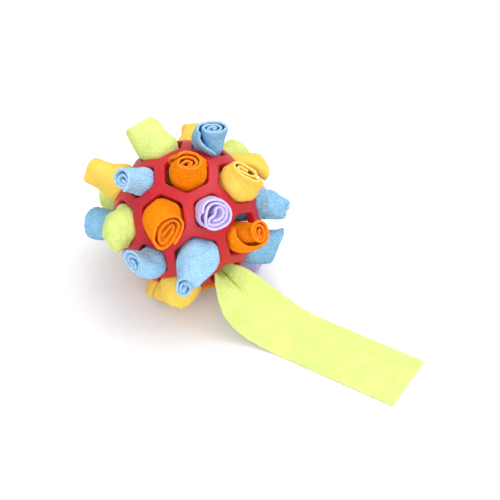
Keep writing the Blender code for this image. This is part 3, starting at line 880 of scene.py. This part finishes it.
# The fleece's colours, tufts, pills and shading
NAP_SIZE = 0.0012
NAP_DEPTH = 0.0005
NAP_RANGE = (0.36, 0.50, 0.64)
PILL_SIZE = 0.0030
PILL_DEPTH = 0.0006
PILL_STRENGTH = 0.7
SHADE_SIZE = 0.0140
SHADE_LEVEL = 0.90
NOISE_RANGE = (0.3, 0.7)
FLEECE_COLOURS = {
    "orange": (1.0, 0.265, 0.005),
    "yellow": (1.0, 0.68, 0.12),
    "blue": (0.36, 0.63, 0.88),
    # The blue painted deeper, as painted shade, for the blue rolls that face away from the light
    "deep_blue": (0.265, 0.535, 0.785),
    "lavender": (0.62, 0.53, 0.92),
    "green": (0.74, 0.87, 0.26),
}
# How strongly the tufts and gaps of each colour stand out
NAP_CONTRAST = {"orange": 0.18, "yellow": 0.08, "blue": 0.15, "deep_blue": 0.18,
                "lavender": 0.12, "green": 0.07}
# How much paler than its faces the cut edge of each colour is painted, a painted highlight where
# the edges catch the light
EDGE_HIGHLIGHTS = {"orange": 0.02, "yellow": 0.08, "blue": 0.14, "deep_blue": 0.2,
                 "lavender": 0.18, "green": 0.1}


def new_material(name):
    """An empty node material: its tree, its shader and object coordinates."""
    made = bpy.data.materials.new(name)
    made.use_nodes = True
    tree = made.node_tree
    shader = tree.nodes["Principled BSDF"]
    place = tree.nodes.new("ShaderNodeTexCoord").outputs["Object"]
    return made, tree, shader, place


def add_noise(tree, place, size, detail=3, roughness=0.5):
    """A noise whose grains are about as large as size."""
    node = tree.nodes.new("ShaderNodeTexNoise")
    node.inputs["Scale"].default_value = 1 / size
    node.inputs["Detail"].default_value = detail
    node.inputs["Roughness"].default_value = roughness
    tree.links.new(place, node.inputs["Vector"])
    return node.outputs["Fac"]


def add_ramp(tree, value, stops):
    """A ramp from value to colour."""
    node = tree.nodes.new("ShaderNodeValToRGB")
    ramp = node.color_ramp
    while len(ramp.elements) < len(stops):
        ramp.elements.new(0.5)
    for element, (position, colour) in zip(ramp.elements, stops):
        element.position = position
        element.color = (*colour, 1)
    tree.links.new(value, node.inputs["Fac"])
    return node.outputs["Color"]


def add_blend(tree, value, low_colour, high_colour):
    """A ramp between two colours, over the range that a noise mostly covers."""
    return add_ramp(tree, value, list(zip(NOISE_RANGE, (low_colour, high_colour))))


def add_bump(tree, height, depth, before=None, strength=1.0):
    """A bump as deep as depth, over another one."""
    node = tree.nodes.new("ShaderNodeBump")
    node.inputs["Strength"].default_value = strength
    node.inputs["Distance"].default_value = depth
    tree.links.new(height, node.inputs["Height"])
    if before:
        tree.links.new(before, node.inputs["Normal"])
    return node.outputs["Normal"]


def shade(colour, level):
    """A colour made lighter or deeper."""
    return tuple(min(value * level, 1) for value in colour)


def grey(level):
    """A grey of a level from 0 to 1."""
    return (level,) * 3


def set_inputs(node, values):
    """Set a node's inputs by name."""
    for name, value in values.items():
        node.inputs[name].default_value = value


def rubber_material():
    """Satin moulded rubber."""
    made, tree, shader, place = new_material("satin_rubber")
    broad = add_noise(tree, place, RUBBER_SHADE_SIZE)
    fine = add_noise(tree, place, RUBBER_GRAIN_SIZE)
    colour = add_blend(tree, broad, shade(RUBBER, RUBBER_DARK), shade(RUBBER, RUBBER_LIGHT))
    tree.links.new(colour, shader.inputs["Base Color"])
    rough = add_blend(tree, broad, grey(RUBBER_SMOOTH), grey(RUBBER_ROUGH))
    tree.links.new(rough, shader.inputs["Roughness"])
    set_inputs(shader, {"Specular IOR Level": 0.4})
    bump = add_bump(tree, broad, RUBBER_SHADE_DEPTH)
    tree.links.new(add_bump(tree, fine, RUBBER_GRAIN_DEPTH, bump), shader.inputs["Normal"])
    return made


def fleece_material(name, highlight=0.0):
    """Polar fleece: a matt nap with darker gaps between its tufts and lighter tips; paler for the
    cut edges, as a painted highlight.
    """
    title = ("fleece_edge_" if highlight else "fleece_nap_") + name
    found = bpy.data.materials.get(title)
    if found:
        return found
    # For a cut edge the colour is mixed towards white, a painted highlight
    base = Vector(FLEECE_COLOURS[name]).lerp(Vector(grey(1)), highlight)
    made, tree, shader, place = new_material(title)
    nap = add_noise(tree, place, NAP_SIZE, detail=2)
    pills = add_noise(tree, place, PILL_SIZE, detail=2)
    broad = add_noise(tree, place, SHADE_SIZE, detail=2)
    contrast = NAP_CONTRAST[name]
    tones = (shade(base, 1 - contrast), base, shade(base, 1 + contrast))
    colour = add_ramp(tree, nap, list(zip(NAP_RANGE, tones)))
    uneven = add_blend(tree, broad, grey(SHADE_LEVEL), grey(1))
    mixed = tree.nodes.new("ShaderNodeMix")
    mixed.data_type = "RGBA"
    mixed.blend_type = "MULTIPLY"
    mixed.inputs["Factor"].default_value = 1
    tree.links.new(colour, mixed.inputs["A"])
    tree.links.new(uneven, mixed.inputs["B"])
    tree.links.new(mixed.outputs["Result"], shader.inputs["Base Color"])
    set_inputs(shader, {"Roughness": 1, "Specular IOR Level": 0.05, "Sheen Weight": 0.3,
                        "Sheen Roughness": 0.6, "Sheen Tint": (*base, 1)})
    bump = add_bump(tree, pills, PILL_DEPTH, strength=PILL_STRENGTH)
    tree.links.new(add_bump(tree, nap, NAP_DEPTH, bump), shader.inputs["Normal"])
    return made


# The studio: its floor, as the camera sees it and as it lights the object, and its light
FLOOR_SIZE = 6
FLOOR_SEEN = 0.98
FLOOR_LIT = 0.80
SKY_COLOUR = (0.97, 0.97, 1)
SKY_STRENGTH = 0.78
# Each lamp's place, the side of its square and its power in watts
LAMPS = {
    "key": ((0.40, 0.12, 1.15), 1.1, 7.5),
    "fill": ((0.05, -1.15, 0.75), 1.0, 7),
}


def make_camera():
    """The camera at the photograph's viewing angle."""
    data = bpy.data.cameras.new("camera")
    data.sensor_width = SENSOR_WIDTH
    data.lens = SENSOR_WIDTH * FOCAL_PIXELS / PHOTO_SIDE
    data.clip_start = CLIP_START
    camera = bpy.data.objects.new("camera", data)
    camera.location = BALL_CENTRE + Vector(CAMERA_OFFSET)
    camera.rotation_euler = (math.radians(CAMERA_TILT), 0, 0)
    bpy.context.scene.collection.objects.link(camera)
    bpy.context.scene.camera = camera


def make_floor():
    """A plain pale floor that shows white and keeps the object's shadow."""
    floor_mesh = bpy.data.meshes.new("floor")
    plane = bmesh.new()
    bmesh.ops.create_grid(plane, x_segments=1, y_segments=1, size=FLOOR_SIZE / 2)
    plane.to_mesh(floor_mesh)
    plane.free()
    made, tree, shader, _ = new_material("pale_floor")
    path = tree.nodes.new("ShaderNodeLightPath")
    seen = tree.nodes.new("ShaderNodeMix")
    seen.data_type = "RGBA"
    seen.inputs["A"].default_value = (*grey(FLOOR_LIT), 1)
    seen.inputs["B"].default_value = (*grey(FLOOR_SEEN), 1)
    tree.links.new(path.outputs["Is Camera Ray"], seen.inputs["Factor"])
    tree.links.new(seen.outputs["Result"], shader.inputs["Base Color"])
    set_inputs(shader, {"Roughness": 1, "Specular IOR Level": 0})
    floor = add_piece("floor", floor_mesh, made)


def make_lamp(name, place, size, power):
    """A soft square lamp that points at the ball."""
    data = bpy.data.lights.new(name, "AREA")
    data.size = size
    data.energy = power
    lamp = bpy.data.objects.new(name, data)
    lamp.location = place
    way = BALL_CENTRE - lamp.location
    lamp.rotation_euler = way.to_track_quat("-Z", "Y").to_euler()
    bpy.context.scene.collection.objects.link(lamp)


def make_light():
    """Soft studio light from above, a little from the right and behind."""
    world = bpy.data.worlds.new("studio")
    world.use_nodes = True
    set_inputs(world.node_tree.nodes["Background"], {"Color": (*SKY_COLOUR, 1),
                                                     "Strength": SKY_STRENGTH})
    bpy.context.scene.world = world
    for name, (place, size, power) in LAMPS.items():
        make_lamp(name, place, size, power)


def main():
    """Make the camera, the ball, its strips, the floor and the light."""
    make_camera()
    holes = find_holes()
    make_lattice()
    for seed, roll in enumerate(ROLLS):
        make_roll(roll, holes, seed)
    make_tail(holes)
    make_floor()
    make_light()
    bpy.context.scene.view_settings.view_transform = "Standard"


main()
